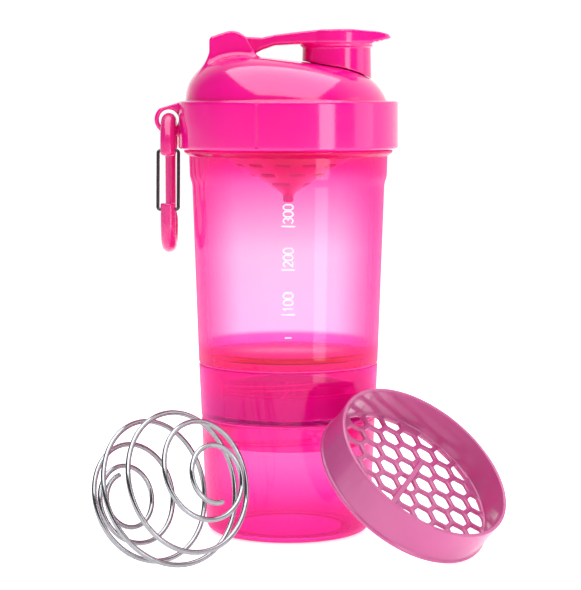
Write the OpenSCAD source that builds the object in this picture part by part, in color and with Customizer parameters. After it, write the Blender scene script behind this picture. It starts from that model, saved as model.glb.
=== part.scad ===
// Protein shaker bottle: a screw-lidded cup on two screw-on storage jars, with a flip cap over
// the spout, a carabiner on the collar, and its wire mixing ball and round strainer beside it.
// Origin: centre of the base, on the surface it stands on. +Z up, the spout towards +X and the
// hinge towards -X, the front towards -Y.

/* [Cup] */
// Outer diameter of the cup where it meets the upper jar
joint_d = 81.8; // [74:0.5:84]
// Outer diameter of the cup in the band under its flange
mouth_d = 90; // [84:0.5:100]
// Height of the cup from its joint to the underside of its flange
cup_h = 93.6; // [70:0.2:140]
// Height of the cylindrical band under the flange
band_h = 8; // [5:0.5:20]
// Height of the threaded neck above the flange
neck_h = 17.6; // [15:0.1:24]
// Wall thickness of the cup and the jars
wall = 2; // [1.6:0.1:2.6]
// Thickness of the cup's and the jars' floors
floor_t = 2.2; // [1.5:0.1:3.5]

/* [Jars] */
// Outer diameter of the lower jar at its base, before the corner radius
base_d = 75; // [68:0.5:80]
// Height of the lower jar up to its joint
lower_jar_h = 53.2; // [40:0.5:80]
// Height of the upper jar between its joints
upper_jar_h = 24.8; // [24:0.2:50]
// Radius of the lower jar's bottom corner
base_corner = 5; // [3:0.5:8]
// Height of the threaded skirts that screw into the jars
skirt_h = 12; // [11:0.5:12]
// Height of the pill tray
tray_h = 10; // [8:0.2:10]
// Number of sections in the pill tray
tray_sections = 3; // [2:1:6]

/* [Threads] */
// Rise of a thread in one turn
thread_lead = 12; // [9:0.5:15]
// Number of thread starts
thread_starts = 3; // [2:1:3]
// Height of a thread rib above its wall
thread_depth = 1.2; // [1:0.05:1.4]
// Angle that each rib covers, in degrees
thread_span = 100; // [60:5:110]
// Clearance between a thread's crest and the wall that it runs past
thread_clear = 0.5; // [0.4:0.05:0.7]

/* [Lid] */
// Height of the lid's collar
collar_h = 21; // [19:0.5:28]
// Wall thickness of the collar
collar_wall = 2.8; // [2:0.1:4]
// Height of the dome's deck above the collar, at its centre
dome_h = 18.3; // [14:0.1:26]
// Slope of the deck, down from the hinge to the spout, in degrees
deck_tilt = 7; // [3:0.5:9]
// Wall thickness of the dome
dome_wall = 2.4; // [1.8:0.1:3.5]
// Thickness of the flat seals
seal_t = 1.2; // [0.8:0.1:2]
// Bore of the drinking spout
spout_bore_d = 17; // [12:0.5:18]
// Wall thickness of the spout
spout_wall = 2; // [1.5:0.1:2.5]
// Distance of the spout's axis from the bottle's axis
spout_x = 21.8; // [18:0.2:24]

/* [Flip cap] */
// Distance of the flip cap's hinge from the bottle's axis
hinge_x = 24.4; // [20:0.2:27]
// Height of the hinge's axis above the deck's centre
hinge_rise = 6.5; // [6:0.1:9]
// Diameter of the hinge pin
hinge_pin_d = 3; // [2:0.1:4]
// Radius of the knuckle round the hinge pin
knuckle_r = 4.4; // [3.6:0.1:4.8]
// Width of the flip cap's knuckle
knuckle_w = 14; // [10:0.5:18]
// Thickness of each hinge ear
ear_t = 5.6; // [4:0.2:8]
// Outer diameter of the cap's skirt over the spout
cap_d = 31.4; // [30:0.2:34]
// Wall thickness of that skirt
cap_wall = 2.3; // [1.6:0.1:2.8]
// Thickness of the thumb plate
plate_t = 6.6; // [5:0.2:8]
// Length of the thumb tab past the skirt
tab_l = 9.2; // [6:0.2:14]

/* [Carabiner] */
// Overall height of the carabiner
carabiner_h = 63.4; // [50:0.5:80]
// Overall width of the carabiner
carabiner_w = 27.8; // [24:0.2:34]
// Diameter of its bar at the nose and the top
bar_d = 6.8; // [5:0.1:7]
// Diameter of its bar along the spine
spine_d = 4.8; // [4:0.1:6]
// Diameter of the gate's wire
gate_wire_d = 1.5; // [1.2:0.1:1.8]

/* [Strainers] */
// Width of the funnel strainer's slots
slot_w = 2; // [1.2:0.1:2.6]
// Slope of the funnel strainer, in degrees
funnel_slope = 32.4; // [20:0.5:40]
// Outer diameter of the round strainer
strainer_d = 84; // [70:0.5:84]
// Height of the round strainer
strainer_h = 17.8; // [12:0.2:24]
// Distance across the flats of the round strainer's hexagonal holes
hex_flats = 8; // [5:0.1:10]
// Width of the ribs between those holes
hex_rib = 2.4; // [1.2:0.1:3.6]

/* [Mixing ball] */
// Outer diameter of the mixing ball
ball_d = 67; // [50:0.5:72]
// Diameter of its wire
ball_wire_d = 2.2; // [1.8:0.1:3]

/* [Hidden] */

fit = 0.3;                  // clearance between plastic pieces that move past each other
run = 0.05;                 // radial running clearance of a pin in its bore
embed = 0.6;                // how far a rib or a lug reaches into the wall that carries it
arc_n = 8;                  // steps in a quarter-turn fillet of a turned profile
smooth = 96;                // $fn of the round surfaces

// Levels above the floor
jar_seal_t = 0.8;
z_lower = lower_jar_h;                       // underside of the upper jar's shoulder
z_upper = z_lower + upper_jar_h;             // underside of the cup's shoulder
z_flange = z_upper + cup_h;                  // underside of the cup's flange
flange_h = 2.8;
z_neck = z_flange + flange_h;
z_rim = z_neck + neck_h;
flange_t = 1.2;                              // thickness of the funnel strainer's flange
z_ledge = z_rim + flange_t + seal_t;         // underside of the lid on its seal
ledge_t = 1.9;
z_collar_top = z_ledge + ledge_t;
z_collar = z_collar_top - collar_h;
z_deck = z_collar_top + dome_h;
z_hinge = z_deck + hinge_rise;

// Radii
r_base = base_d / 2;
r_joint = joint_d / 2;
r_mouth = mouth_d / 2;
taper = (r_joint - r_base) / z_upper;
function r_jar(z) = r_base + taper * z;
r_neck = r_mouth - 0.1;
r_neck_in = r_neck - wall;
r_collar_in = r_neck + thread_depth + thread_clear + 0.2;
r_collar = r_collar_in + collar_wall;
r_flange = r_collar_in + 0.7;
r_dome = r_collar - 2.8;

function arc(c, r, a0, a1, n = arc_n) =
    [for (i = [0:n]) c + r * [cos(a0 + (a1 - a0) * i / n), sin(a0 + (a1 - a0) * i / n)]];

module turned(points) rotate_extrude($fn = smooth) polygon(points);

module ring(r_out, r_in, z0, z1)
    translate([0, 0, z0]) difference() {
        cylinder(r = r_out, h = z1 - z0, $fn = smooth);
        translate([0, 0, -1]) cylinder(r = r_in, h = z1 - z0 + 2, $fn = smooth);
    }

// One start of a thread. A flat ring segment, tilted about its middle, follows the helix to within
// 0.1 mm over this span. side is +1 for a rib that stands out of a wall of radius r, and -1 for one
// that stands into it.
rib_root_w = 1.8;
rib_crest_w = 1.1;
rise_half = thread_lead * thread_span / 720;      // rise from a rib's middle to its end
module thread_rib(r, side) {
    root = r - side * embed;
    crest = r + side * thread_depth;
    tilt = asin(rise_half / (r * sin(thread_span / 2)));
    rotate([tilt, 0, 0]) rotate([0, 0, -thread_span / 2])
        rotate_extrude(angle = thread_span, $fn = smooth)
            polygon([[root, -rib_root_w / 2], [crest, -rib_crest_w / 2],
                [crest, rib_crest_w / 2], [root, rib_root_w / 2]]);
}

// All starts of a thread, with their middles at height z
module thread(r, side, z)
    for (i = [0:thread_starts - 1])
        translate([0, 0, z]) rotate([0, 0, 360 * i / thread_starts]) thread_rib(r, side);

// An inner thread lies half a pitch under the outer thread that it holds.
pitch = thread_lead / thread_starts;
rib_room = rise_half + rib_root_w / 2 + 0.5;      // from a rib's middle to the piece's end

// A jar's bore where a skirt ends in it, and the skirt of the piece that screws into that jar
function r_jar_bore(z_joint) = r_jar(z_joint - skirt_h) - wall;
function r_skirt(z_joint) = r_jar_bore(z_joint) - thread_depth - thread_clear;
skirt_wall = 1.8;
module skirt(z_joint) {
    ring(r_skirt(z_joint), r_skirt(z_joint) - skirt_wall, z_joint - skirt_h, z_joint + embed);
    thread(r_skirt(z_joint), 1, z_joint - skirt_h + rib_room + pitch / 2);
}
module jar_thread(z_joint)
    thread(r_jar_bore(z_joint), -1, z_joint - skirt_h + rib_room);

foot_r = r_base - base_corner;   // edge of the flat that the bottle stands on
foot_w = 5;
groove_w = 3;                    // ring groove inside the foot
groove_d = 0.8;

module lower_jar() color("hotpink") {
    rim = z_lower - jar_seal_t;
    inner_corner = base_corner - wall;
    turned(concat(
        [[0, 0], [foot_r - foot_w - groove_w, 0], [foot_r - foot_w - groove_w + groove_d, groove_d],
         [foot_r - foot_w - groove_d, groove_d], [foot_r - foot_w, 0]],
        arc([foot_r, base_corner], base_corner, -90, 0),
        [[r_jar(rim) - 0.3, rim - 0.2], [r_jar(rim) - 0.5, rim], [r_jar(rim) - wall, rim]],
        arc([r_base - wall - inner_corner, floor_t + inner_corner], inner_corner, 0, -90),
        [[0, floor_t]]));
    jar_thread(z_lower);
}

module jar_seal(z_joint) {
    r = r_jar(z_joint);
    color("pink") ring(r - 0.6, r - wall + 0.2, z_joint - jar_seal_t, z_joint);
}

module upper_jar() color("hotpink") {
    rim = z_upper - jar_seal_t;
    r0 = r_jar(z_lower);
    turned([[0, z_lower], [r0 - 0.5, z_lower], [r0, z_lower + 0.5],
        [r_jar(rim) - 0.3, rim - 0.2], [r_jar(rim) - 0.5, rim], [r_jar(rim) - wall, rim],
        [r0 - wall, z_lower + floor_t], [0, z_lower + floor_t]]);
    skirt(z_lower);
    jar_thread(z_upper);
}

// Round tray with upright walls between its sections and a post to lift it by
tray_r = r_jar(z_lower) - wall - 0.8;
tray_wall = 1.2;
post_r = 3;
tray_turn = -96;   // direction of the first wall
module pill_tray() color("mediumvioletred") translate([0, 0, z_lower + floor_t]) {
    difference() {
        cylinder(r = tray_r, h = tray_h, $fn = smooth);
        translate([0, 0, tray_wall]) cylinder(r = tray_r - tray_wall, h = tray_h, $fn = smooth);
    }
    cylinder(r = post_r, h = tray_h, $fn = smooth);
    for (i = [0:tray_sections - 1])
        rotate([0, 0, tray_turn + 360 * i / tray_sections])
            translate([post_r - embed, -tray_wall / 2, tray_wall - embed])
                cube([tray_r - tray_wall - post_r + 2 * embed, tray_wall, tray_h - tray_wall + embed - 0.6]);
}

// The cup: skirt, raised floor, tapered wall, straight band, flange and threaded neck
cup_floor_rise = 2.4;
band_blend = 6;      // height over which the taper eases into the band
module cup() color("hotpink") {
    z_band = z_flange - band_h;
    z_blend = z_band - band_blend;
    r_blend = r_mouth - 1.4;
    z_floor = z_upper + cup_floor_rise + floor_t;
    outer = concat(
        [[r_skirt(z_upper) - skirt_wall, z_upper], [r_joint - 0.5, z_upper], [r_joint, z_upper + 0.5],
         [r_blend, z_blend]],
        [for (i = [1:6]) let (t = i / 6)
            [r_blend + (r_mouth - 0.2 - r_blend) * (3 * t * t - 2 * t * t * t), z_blend + band_blend * t]],
        [[r_mouth, z_flange], [r_flange - 0.5, z_flange + flange_h - 1.2],
         [r_flange, z_flange + flange_h - 0.7], [r_flange - 0.3, z_neck],
         [r_neck, z_neck], [r_neck, z_rim - 0.5], [r_neck - 0.5, z_rim]]);
    inner = concat(
        [[r_neck_in + 0.4, z_rim], [r_neck_in, z_rim - 0.4], [r_neck_in, z_band],
         [r_blend - wall, z_blend], [r_joint - wall + 0.1, z_floor + 3]],
        arc([r_joint - wall - 3, z_floor + 3], 3, 0, -90, 5),
        [[0, z_floor], [0, z_floor - floor_t], [r_skirt(z_upper) - skirt_wall, z_floor - floor_t]]);
    turned(concat(outer, inner));
    skirt(z_upper);
    thread(r_neck, 1, z_neck + rib_room + pitch / 2);
}

// Funnel strainer: flange on the cup's rim, short wall and a cone with rings of slots
funnel_wall = 1.6;
funnel_r = r_neck_in - 0.4;
nub_r = 2.4;
nub_h = 3.4;
funnel_rows = 5;
function funnel_z(r) = z_rim - 12.6 - (funnel_r - r) * tan(funnel_slope);
module funnel_strainer() color("deeppink") {
    lift = funnel_wall / cos(funnel_slope);
    difference() {
        turned([[0, funnel_z(nub_r) - nub_h], [nub_r - 0.6, funnel_z(nub_r) - nub_h],
            [nub_r, funnel_z(nub_r) - nub_h + 0.6], [nub_r, funnel_z(nub_r)],
            [funnel_r, funnel_z(funnel_r)], [funnel_r, z_rim], [r_neck + 0.2, z_rim],
            [r_neck + 0.2, z_rim + flange_t], [funnel_r - funnel_wall + 0.4, z_rim + flange_t],
            [funnel_r - funnel_wall, z_rim + flange_t - 0.4],
            [funnel_r - funnel_wall, funnel_z(funnel_r - funnel_wall) + lift],
            [0, funnel_z(0) + lift]]);
        for (row = [1:funnel_rows]) {
            r = funnel_r * (row + 0.35) / (funnel_rows + 1);
            count = 4 * row;
            for (i = [0:count - 1])
                rotate([0, 0, 360 * (i + row / 2) / count])
                    translate([0, 0, funnel_z(0) - 1])
                        rotate_extrude(angle = 200 / count, $fn = smooth)
                            translate([r - slot_w / 2, 0])
                                square([slot_w, funnel_r]);
        }
    }
}

module lid_seal() color("mistyrose")
    ring(r_collar_in - 0.6, r_dome - dome_wall - 0.6, z_rim + flange_t, z_ledge);

// The dome is a cone cut by a tilted disc with a deep round edge. inset makes it smaller all over,
// for its hollow, and a negative inset makes it larger.
deck_edge = 22;        // radius of the deck's round edge
deck_crown = 1.1;      // how far the deck falls from its centre to that edge
deck_shift = 2.2;      // distance of the deck's centre from the axis
dome_draft = 2.6;      // how much the dome's side leans in over the dome's height
module dome(inset) {
    r = r_dome - inset;
    e = deck_edge - inset;
    flat = r_dome - 0.4 - deck_edge;
    top = dome_h + r_dome * tan(deck_tilt);
    intersection() {
        translate([0, 0, z_collar_top - 6])
            cylinder(r1 = r + dome_draft * 6 / top, r2 = r - dome_draft, h = top + 6, $fn = smooth);
        translate([deck_shift, 0, z_deck - inset]) rotate([0, deck_tilt, 0])
            turned(concat([[0, -60], [flat + e, -60]],
                arc([flat, -deck_crown - e], e, 0, 90, 14),
                [[flat * 0.66, -deck_crown * 0.42], [flat * 0.33, -deck_crown * 0.1], [0, 0]]));
    }
}

// Hinge block behind the deck, drawn as its outline seen from the front
block_w = knuckle_w + 2 * (fit + ear_t);
slot_in_block = knuckle_w + 2 * fit;
module hinge_block() {
    outline = concat(
        [[-hinge_x - 19, -26], [-hinge_x - 10.9, -3], [-hinge_x - 10.9, 2.6], [-hinge_x - 10, 3.9]],
        [[-hinge_x - 6, 5.2]],
        arc([-hinge_x - 0.8, -1.6], 8.1, 110, 20, 10),
        [[-hinge_x + 9.6, -3], [-hinge_x + 11, -8], [-hinge_x + 11, -26]]);
    translate([0, 0, z_hinge]) rotate([90, 0, 0])
        linear_extrude(block_w, center = true) polygon(outline);
}

// The lug is a flat loop on the collar, in the plane of the bottle's axis
bar_r = bar_d / 2;
lug_t = 4.4;
lug_hole_r = bar_r + 1.1;
lug_ring = 2;
lug_x = r_collar + bar_r + 1.1;
z_bar = z_collar_top - 8.6;       // centre of the carabiner's bar in the lug
z_lug = z_bar + 0.3;
module lug() {
    r = lug_hole_r + lug_ring;
    outline = concat(
        [[-r_collar + collar_wall / 2, z_collar_top - 0.8], [-r_collar - 0.4, z_collar_top - 0.8]],
        arc([-lug_x, z_lug], r, 128, 258, 14),
        [[-r_collar + collar_wall / 2, z_lug - r - 1.2]]);
    translate([0, lug_t / 2, 0]) rotate([90, 0, 0])
        linear_extrude(lug_t) polygon(outline);
}

spout_r = spout_bore_d / 2;
z_spout = z_deck + 2.9;
pin_r = hinge_pin_d / 2;
pin_end = knuckle_w / 2 + fit + ear_t - 1.8;    // half the hinge pin's length
seam_angle = -106;                              // direction of the collar's seam line
module lid_shell() color("deeppink") difference() {
    union() {
        // collar, with rounded edges
        turned(concat(
            [[r_dome - dome_wall - 1, z_collar_top], [r_dome - dome_wall - 1, z_ledge],
            [r_collar_in, z_ledge],
             [r_collar_in, z_collar + 0.6], [r_collar_in + 0.6, z_collar]],
            arc([r_collar - 0.6, z_collar + 0.8], 0.8, -90, 0, 4),
            arc([r_collar - 1.4, z_collar_top - 1.4], 1.4, 0, 90, 5)));
        thread(r_collar_in, -1, z_neck + rib_room);
        difference() {
            union() {
                dome(0);
                intersection() {
                    hinge_block();
                    translate([0, 0, z_collar_top - 0.2]) cylinder(r = r_dome, h = 100, $fn = smooth);
                }
            }
            translate([0, 0, -1]) cylinder(r = 2 * r_collar, h = z_collar_top - 0.2 + 1, $fn = smooth);
        }
        translate([spout_x, 0, z_collar_top])
            cylinder(r = spout_r + spout_wall, h = z_spout - z_collar_top, $fn = smooth);
        lug();
    }
    // hollow of the dome, open below
    dome(dome_wall);
    // slot for the flip cap's knuckle, and blind bores for its pin
    translate([-hinge_x - 30, -slot_in_block / 2, z_deck + 1.5])
        cube([60, slot_in_block, 40]);
    translate([-hinge_x, 0, z_hinge]) rotate([90, 0, 0])
        cylinder(r = pin_r, h = 2 * pin_end, center = true, $fn = smooth);
    translate([spout_x, 0, z_collar_top - 8])
        cylinder(r = spout_r, h = 60, $fn = smooth);
    translate([-lug_x, 0, z_lug]) rotate([90, 0, 0])
        cylinder(r = lug_hole_r, h = 3 * lug_t, center = true, $fn = smooth);
    rotate([0, 0, seam_angle]) translate([r_collar - 0.35, -0.3, z_collar - 1])
        cube([2, 0.6, collar_h + 0.2]);
}

module hinge_pin() color("silver")
    translate([-hinge_x, 0, z_hinge]) rotate([90, 0, 0])
        cylinder(r = pin_r, h = 2 * pin_end - 0.2, center = true, $fn = smooth);

// Flip cap: a plate that is the overlap of its outline from above and its outline from the side,
// a skirt over the spout that follows the deck, and a post that carries the plug
cap_r = cap_d / 2;
plate_top = z_hinge + 7.2;
plate_low = plate_top - plate_t;
tab_x = spout_x + cap_r + tab_l;
post_h = 3;
module plate_plan() {
    w = knuckle_w / 2;
    polygon(concat(
        arc([spout_x, 0], cap_r + 1.4, 56, 122, 12),
        [[-hinge_x + 17, w + 1.4], [-hinge_x + 9.6, w], [-hinge_x - 6, w],
         [-hinge_x - 6, -w], [-hinge_x + 9.6, -w], [-hinge_x + 17, -w - 1.4]],
        arc([spout_x, 0], cap_r + 1.4, -122, -56, 12),
        arc([tab_x - 13, 0], 13, -40, 40, 12)));
}
module plate_side() {
    k = knuckle_r;
    polygon(concat(
        arc([-hinge_x, z_hinge], k, 75, 300, 16),
        [[-hinge_x + 10, z_hinge - 3.2], [-hinge_x + 12.6, z_hinge - 1.9],
         [-hinge_x + 18.4, plate_low - 0.5], [-hinge_x + 29, plate_low],
         [spout_x + cap_r, plate_low + 0.3], [tab_x - 4, plate_low + 1.7],
         [tab_x - 0.5, plate_top - 4], [tab_x, plate_top - 3.4], [tab_x - 1.6, plate_top - 2],
         [tab_x - 6.6, plate_top - 0.9], [spout_x + 6, plate_top], [spout_x - 7, plate_top - 0.2],
         [spout_x - 17, plate_top - 1.1], [-hinge_x + 18.4, plate_top - 2.4],
         [-hinge_x + 12.6, plate_top - 3.6]]));
}
module flip_cap() color("deeppink") difference() {
    union() {
        intersection() {
            translate([0, 0, plate_top - 40]) linear_extrude(60) plate_plan();
            translate([0, 40, 0]) rotate([90, 0, 0]) linear_extrude(80) plate_side();
        }
        difference() {
            translate([spout_x, 0, z_collar_top])
                cylinder(r1 = cap_r + 0.3, r2 = cap_r - 0.3, h = plate_low + 1 - z_collar_top, $fn = smooth);
            translate([spout_x, 0, z_collar_top - 1])
                cylinder(r = cap_r - cap_wall, h = plate_low + 2 - z_collar_top, $fn = smooth);
            dome(-fit - 0.2);
        }
        translate([spout_x, 0, plate_low - post_h])
            cylinder(r = spout_r - 3, h = post_h + 1, $fn = smooth);
    }
    translate([-hinge_x, 0, z_hinge]) rotate([90, 0, 0])
        cylinder(r = pin_r + run, h = 2 * knuckle_w, center = true, $fn = smooth);
}

// Soft plug that the flip cap presses on the spout's rim and into its bore
plug_depth = 2.4;
module spout_plug() color("mistyrose") translate([spout_x, 0, 0]) {
    post_z = plate_low - post_h;
    difference() {
        turned([[0, z_spout - plug_depth], [spout_r - 1.6, z_spout - plug_depth],
            [spout_r - 0.8, z_spout - plug_depth + 0.8], [spout_r - 0.7, z_spout + 0.05],
            [spout_r + 1.7, z_spout + 0.05], [spout_r + 1.7, plate_low - 1], [spout_r - 1, plate_low],
            [0, plate_low]]);
        translate([0, 0, post_z]) cylinder(r = spout_r - 3, h = 20, $fn = smooth);
    }
}

// Carabiner: a closed bar in a plane across the lug, thicker at its nose, top and foot
bend_r = (carabiner_w - bar_d) / 2;
z_top_bend = z_bar - bend_r;
z_low_bend = z_bar + bar_r - carabiner_h + bar_r + bend_r;
nose_l = 5.3;
foot_l = 9;
spine_r = spine_d / 2;
neck_l = 7;          // length of the taper between the bar and the spine
gate_clear = 0.45;   // between the gate and the bar that it closes on
gate_pivot_z = z_low_bend + foot_l - 2.8;
gate_r = gate_wire_d / 2;
gate_w = bar_d + gate_wire_d + 2 * gate_clear;   // between its legs' centres

module bend(start, r) rotate([0, 90, 0]) rotate([0, 0, start])
    rotate_extrude(angle = 180, $fn = smooth) translate([bend_r, 0]) circle(r = r, $fn = smooth);

module carabiner_body() color("deeppink") translate([-lug_x, 0, 0]) difference() {
    union() {
        translate([0, 0, z_top_bend]) bend(90, bar_r);
        translate([0, 0, z_low_bend]) bend(-90, bar_r);
        // nose, with a rounded end
        translate([0, -bend_r, z_top_bend - nose_l])
            turned(concat([[0, 0]], arc([bar_r - 2.4, 2.4], 2.4, -90, 0), [[bar_r, nose_l], [0, nose_l]]));
        // foot, with a chamfered end
        translate([0, -bend_r, z_low_bend])
            turned([[0, 0], [bar_r, 0], [bar_r, foot_l - 0.6], [bar_r - 0.6, foot_l], [0, foot_l]]);
        // spine
        translate([0, bend_r, z_low_bend])
            turned([[0, 0], [bar_r, 0], [spine_r, neck_l], [spine_r, z_top_bend - z_low_bend - neck_l],
                [bar_r, z_top_bend - z_low_bend], [0, z_top_bend - z_low_bend]]);
    }
    for (side = [-1, 1])
        translate([side * (bar_r - 1.8), -bend_r, gate_pivot_z]) rotate([0, side * 90, 0])
            cylinder(r = gate_r + run, h = 10, $fn = smooth);
}

// Wire gate: a U of wire whose feet turn into the carabiner's foot and whose bar rests inside the nose
gate_bend = gate_r + 0.3;
gate_bar_z = z_top_bend - nose_l + 2.2;
gate_bar_y = -bend_r + bar_r + gate_r + gate_clear;
gate_rise = gate_bar_z - gate_pivot_z;
gate_run = gate_bar_y + bend_r;
gate_l = sqrt(gate_rise * gate_rise + gate_run * gate_run);
gate_lean = atan2(gate_run, gate_rise);
module carabiner_gate() color("dimgray")
    translate([-lug_x, -bend_r, gate_pivot_z]) rotate([-gate_lean, 0, 0])
        for (side = [-1, 1]) {
            x = side * (gate_w / 2 - gate_bend);
            translate([side * gate_w / 2, 0, gate_bend])
                cylinder(r = gate_r, h = gate_l - 2 * gate_bend, $fn = smooth);
            for (end = [[gate_bend, side > 0 ? 270 : 180], [gate_l - gate_bend, side > 0 ? 0 : 90]])
                translate([x, 0, end[0]]) rotate([90, 0, 0]) rotate([0, 0, end[1]])
                    rotate_extrude(angle = 90, $fn = smooth)
                        translate([gate_bend, 0]) circle(r = gate_r, $fn = smooth);
            translate([side * (bar_r - 1.6), 0, 0]) rotate([0, side * 90, 0])
                cylinder(r = gate_r, h = gate_w / 2 - gate_bend - bar_r + 1.6, $fn = smooth);
            translate([0, 0, gate_l]) rotate([0, side * 90, 0])
                cylinder(r = gate_r, h = gate_w / 2 - gate_bend, $fn = smooth);
        }

// Mixing ball: one wire wound round a sphere from pole to pole, easing from loop to loop
ball_x = -49.6;
ball_y = -77.5;
ball_axis = [0.65, -0.705, 0.283];
ball_loops = [17.6, 28.4, 60.4, 84.3, 116.1, 141.6, 157.7, 160.5];  // polar angle after each turn
ball_start = 0.14;          // turns at which the wire starts and ends
ball_end = 6.62;
ball_phase = 144.7;
loop_steps = 28;
ball_sides = 8;
function ease(t) = t * t * (3 - 2 * t);
function polar(turn) =
    let (k = floor(turn)) ball_loops[k] + (ball_loops[k + 1] - ball_loops[k]) * ease(turn - k);
function unit(v) = v / norm(v);
ball_u = unit(cross(ball_axis, [0, 0, 1]));
ball_v = unit(cross(unit(ball_axis), ball_u));
function ball_point(turn) =
    let (r = (ball_d - ball_wire_d) / 2, b = polar(turn), a = ball_phase - 360 * turn)
    r * (cos(b) * unit(ball_axis) + sin(b) * (cos(a) * ball_u + sin(a) * ball_v));
ball_steps = floor((ball_end - ball_start) * loop_steps);
ball_path = [for (i = [0:ball_steps]) ball_point(ball_start + i / loop_steps)];
ball_z = ball_wire_d / 2 - min([for (p = ball_path) p[2]]);
module mixing_ball() color("silver") {
    path = ball_path;
    pts = [for (i = [0:len(path) - 1])
        let (along = unit(path[min(i + 1, len(path) - 1)] - path[max(i - 1, 0)]),
             out = unit(path[i]),
             n1 = unit(out - (out * along) * along),
             n2 = cross(along, n1))
        each [for (k = [0:ball_sides - 1])
            path[i] + ball_wire_d / 2 * (cos(360 * k / ball_sides) * n1 + sin(360 * k / ball_sides) * n2)]];
    n = ball_sides;
    last = n * (len(path) - 1);
    sides = [for (i = [0:len(path) - 2], k = [0:n - 1])
        let (a = n * i + k, b = n * i + (k + 1) % n)
        each [[a, b, a + n], [b, b + n, a + n]]];
    caps = [for (k = [1:n - 2]) each [[0, k + 1, k], [last, last + k, last + k + 1]]];
    translate([ball_x, ball_y, ball_z])
        polyhedron(pts, [for (f = concat(sides, caps)) [f[0], f[2], f[1]]]);
}

// Round strainer: a ring with a honeycomb floor and a bar across it, leaning on the bottle
lean_turn = 48.8;         // direction that it leans towards, from the front
lean_tilt = 42.5;         // angle between its axis and the vertical
lean_side = 5.5;          // how far its middle stands to one side of the line through the bottle's axis
strainer_wall = 1.6;
strainer_r = strainer_d / 2;
bead = 0.8;               // how far the bead at its floor stands out
plate_z = 1.2;
plate_thick = 1.8;
hex_turn = -15;
bar_turn = 204.7;
bar_reach = 18;
bar_w = 2.4;
bar_h = 1.8;
// distance of its floor's centre from the axis, so that its upper edge is just clear of the jars
lean_reach = strainer_r + bead;
lean_out = lean_reach * cos(lean_tilt)
    + sqrt(pow(r_jar(2 * lean_reach * sin(lean_tilt)) + 0.5, 2) - pow(lean_side, 2));
module honeycomb() {
    pitch_hex = hex_flats + hex_rib;
    edge = strainer_r - strainer_wall - 1;
    rows = ceil(strainer_r / (pitch_hex * cos(30)));
    intersection() {
        cylinder(r = edge, h = 6, $fn = smooth);
        rotate([0, 0, hex_turn]) for (j = [-rows:rows], i = [-rows:rows]) {
            p = [pitch_hex * (i + (j % 2 == 0 ? 0 : 0.5)), pitch_hex * cos(30) * j];
            if (norm(p) < edge - 0.5)
                translate([p[0], p[1], -1]) rotate([0, 0, 30])
                    cylinder(r = hex_flats / 2 / cos(30), h = 8, $fn = 6);
        }
    }
}
module round_strainer() color("orchid")
    rotate([0, 0, lean_turn]) translate([-lean_side, -lean_out, lean_reach * sin(lean_tilt)])
        rotate([lean_tilt, 0, 0]) {
            turned([[strainer_r - strainer_wall, 0], [strainer_r + bead - 0.5, 0], [strainer_r + bead, 0.5],
                [strainer_r + bead, 1.3], [strainer_r + bead - 0.5, 1.8], [strainer_r, 1.8],
                [strainer_r, strainer_h - 0.5], [strainer_r - 0.4, strainer_h],
                [strainer_r - strainer_wall + 0.4, strainer_h],
                [strainer_r - strainer_wall, strainer_h - 0.5]]);
            difference() {
                translate([0, 0, plate_z])
                    cylinder(r = strainer_r - strainer_wall + embed, h = plate_thick, $fn = smooth);
                honeycomb();
            }
            rotate([0, 0, bar_turn]) translate([-bar_reach, -bar_w / 2, plate_z + 0.6])
                cube([strainer_r - strainer_wall + bar_reach + embed / 2, bar_w,
                    plate_thick - 0.6 + bar_h]);
        }

lower_jar();
jar_seal(z_lower);  // lower_jar_seal
upper_jar();
pill_tray();
jar_seal(z_upper);  // upper_jar_seal
cup();
funnel_strainer();
lid_seal();
lid_shell();
hinge_pin();
flip_cap();
spout_plug();
carabiner_body();
carabiner_gate();
mixing_ball();
round_strainer();
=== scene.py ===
"""Looks of a protein shaker bottle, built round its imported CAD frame.

Shapes are worked out in millimetres in the CAD's frame: origin at the centre of the base, +Z up,
the spout towards +X and the front towards -Y. They become Blender objects in metres.
"""

import math

import bpy
import numpy as np
from mathutils import Matrix, Vector


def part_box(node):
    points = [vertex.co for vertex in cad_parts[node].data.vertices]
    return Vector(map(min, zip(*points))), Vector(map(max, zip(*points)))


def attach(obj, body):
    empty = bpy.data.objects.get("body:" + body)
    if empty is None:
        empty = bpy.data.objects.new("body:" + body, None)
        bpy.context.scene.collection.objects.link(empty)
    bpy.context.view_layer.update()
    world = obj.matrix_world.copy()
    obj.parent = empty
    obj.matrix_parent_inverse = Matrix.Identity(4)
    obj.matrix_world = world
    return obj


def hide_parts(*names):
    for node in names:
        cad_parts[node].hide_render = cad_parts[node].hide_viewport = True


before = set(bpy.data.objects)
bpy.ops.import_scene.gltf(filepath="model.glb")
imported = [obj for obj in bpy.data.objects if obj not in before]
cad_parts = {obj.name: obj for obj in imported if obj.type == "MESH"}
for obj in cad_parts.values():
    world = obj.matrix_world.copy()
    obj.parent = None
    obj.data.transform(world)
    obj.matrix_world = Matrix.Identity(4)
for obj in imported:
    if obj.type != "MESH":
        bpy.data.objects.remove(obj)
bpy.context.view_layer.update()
MM = 0.001
TAU = 2 * math.pi


def limits(node):
    """Lowest and highest corner of a CAD node, in millimetres."""
    low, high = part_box(node)
    return np.array(low) / MM, np.array(high) / MM


# ---------------------------------------------------------------- sizes, from the frame
cup_low, cup_high = limits("cup")
lid_low, lid_high = limits("lid_shell")
plug_low, plug_high = limits("spout_plug")
pin_low, pin_high = limits("hinge_pin")
tray_low, tray_high = limits("pill_tray")
seal_high = limits("lid_seal")[1]
bar_low, bar_high = limits("carabiner_body")

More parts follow.
